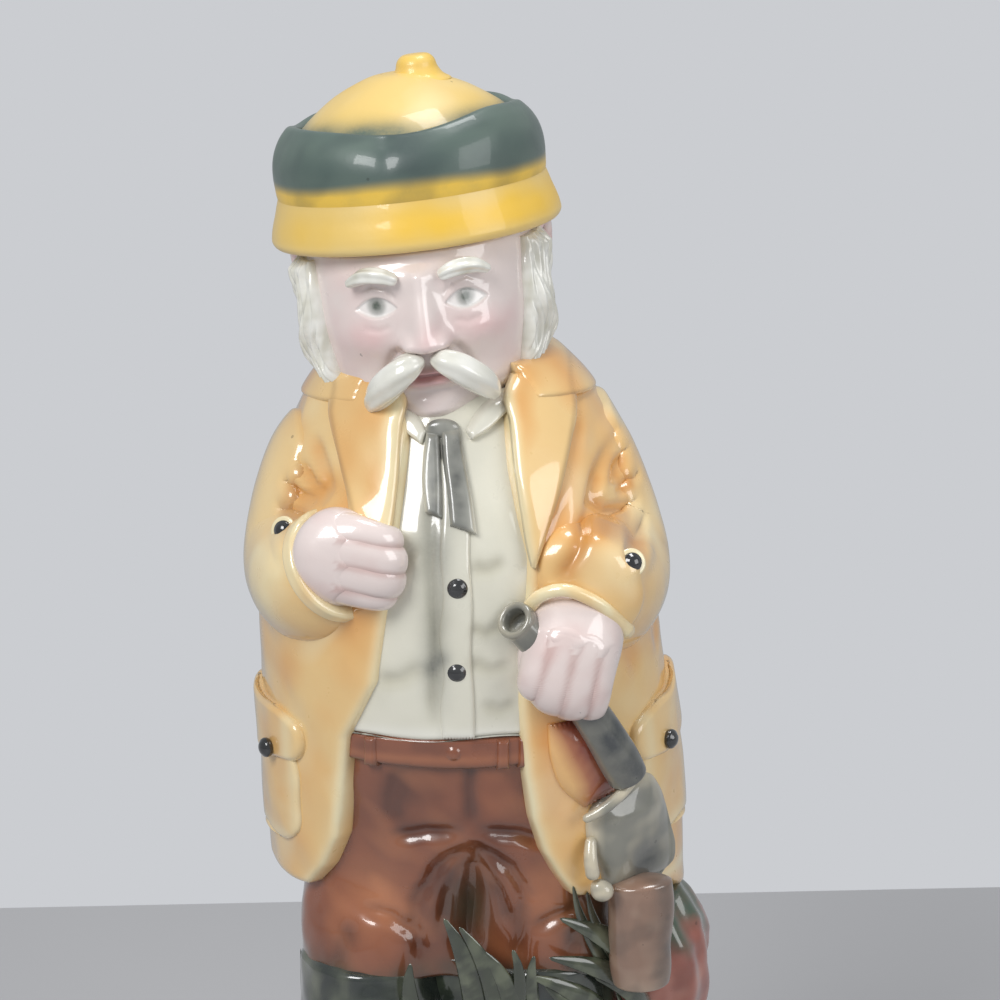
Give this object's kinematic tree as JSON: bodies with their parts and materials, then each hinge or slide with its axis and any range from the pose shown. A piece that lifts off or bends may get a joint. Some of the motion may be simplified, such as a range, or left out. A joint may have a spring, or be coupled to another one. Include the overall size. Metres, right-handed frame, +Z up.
{
  "type": "figural liquor decanter",
  "caption": "Hollow glazed ceramic bottle shaped as a standing hunter in jacket and boots, with the figure's hat as a cork-fitted stopper",
  "frame": {"origin": "centre of the flat oval foot that the decanter stands on", "axes": "+Z up, -Y the figure's front, +X the viewer's right, which is the figure's own left"},
  "size_m": [0.1015, 0.0951, 0.302],
  "materials": {
    "jacket_glaze": "high-gloss clear glaze over apricot tan",
    "cream_glaze": "high-gloss clear glaze over cream white",
    "skin_glaze": "high-gloss clear glaze over pink white",
    "trouser_glaze": "high-gloss clear glaze over red brown",
    "green_glaze": "high-gloss clear glaze over dark grey green",
    "yellow_glaze": "high-gloss clear glaze over ochre yellow",
    "grey_glaze": "high-gloss clear glaze over sprayed grey",
    "bark_glaze": "high-gloss clear glaze over reddish brown",
    "black_glaze": "high-gloss black glaze",
    "cork": "bare natural cork"
  },
  "bodies": {
    "figure": {"ground_base": "green_glaze", "trousers": "trouser_glaze", "waistcoat": "cream_glaze", "head": "skin_glaze", "neck_ring": "skin_glaze", "jacket": "jacket_glaze", "lapel_left": "jacket_glaze", "lapel_right": "jacket_glaze", "jacket_collar": "jacket_glaze", "waistcoat_placket": "cream_glaze", "necktie": "grey_glaze", "shirt_collar": "cream_glaze", "waistband": "trouser_glaze", "belt_loops": "trouser_glaze", "waistcoat_buttons": "black_glaze", "waistband_button": "trouser_glaze", "pocket_left": "jacket_glaze", "pocket_right": "jacket_glaze", "pocket_flap_left": "jacket_glaze", "pocket_flap_right": "jacket_glaze", "pocket_buttons": "black_glaze", "gun_barrels": "grey_glaze", "gun_forend": "bark_glaze", "gun_receiver": "grey_glaze", "trigger_guard": "grey_glaze", "gun_stock": "bark_glaze", "tree_stump": "bark_glaze", "sleeve_left": "jacket_glaze", "sleeve_right": "jacket_glaze", "cuff_left": "jacket_glaze", "cuff_right": "jacket_glaze", "cuff_buttons": "black_glaze", "hand_left": "skin_glaze", "hand_right": "skin_glaze", "side_whiskers": "cream_glaze", "moustache": "cream_glaze", "eyebrows": "cream_glaze", "ears": "skin_glaze", "hair_back": "cream_glaze", "boot_left": "green_glaze", "boot_right": "green_glaze", "grass_front": "green_glaze", "grass_side": "green_glaze", "grass_back": "green_glaze"},
    "cork": {"cork": "cork"},
    "hat": {"hat": "yellow_glaze", "hat_flap": "green_glaze", "hat_button": "yellow_glaze"}
  },
  "joints": [
    {"name": "stopper_lift", "type": "slide", "parent": "figure", "child": "cork", "axis": [-0.0958, 0, 0.9954], "range_m": [0, 0.06]},
    {"name": "stopper_turn", "type": "hinge", "parent": "cork", "child": "hat", "pos_m": [-0.011, 0, 0.264], "axis": [-0.0958, 0, 0.9954], "continuous": true}
  ]
}
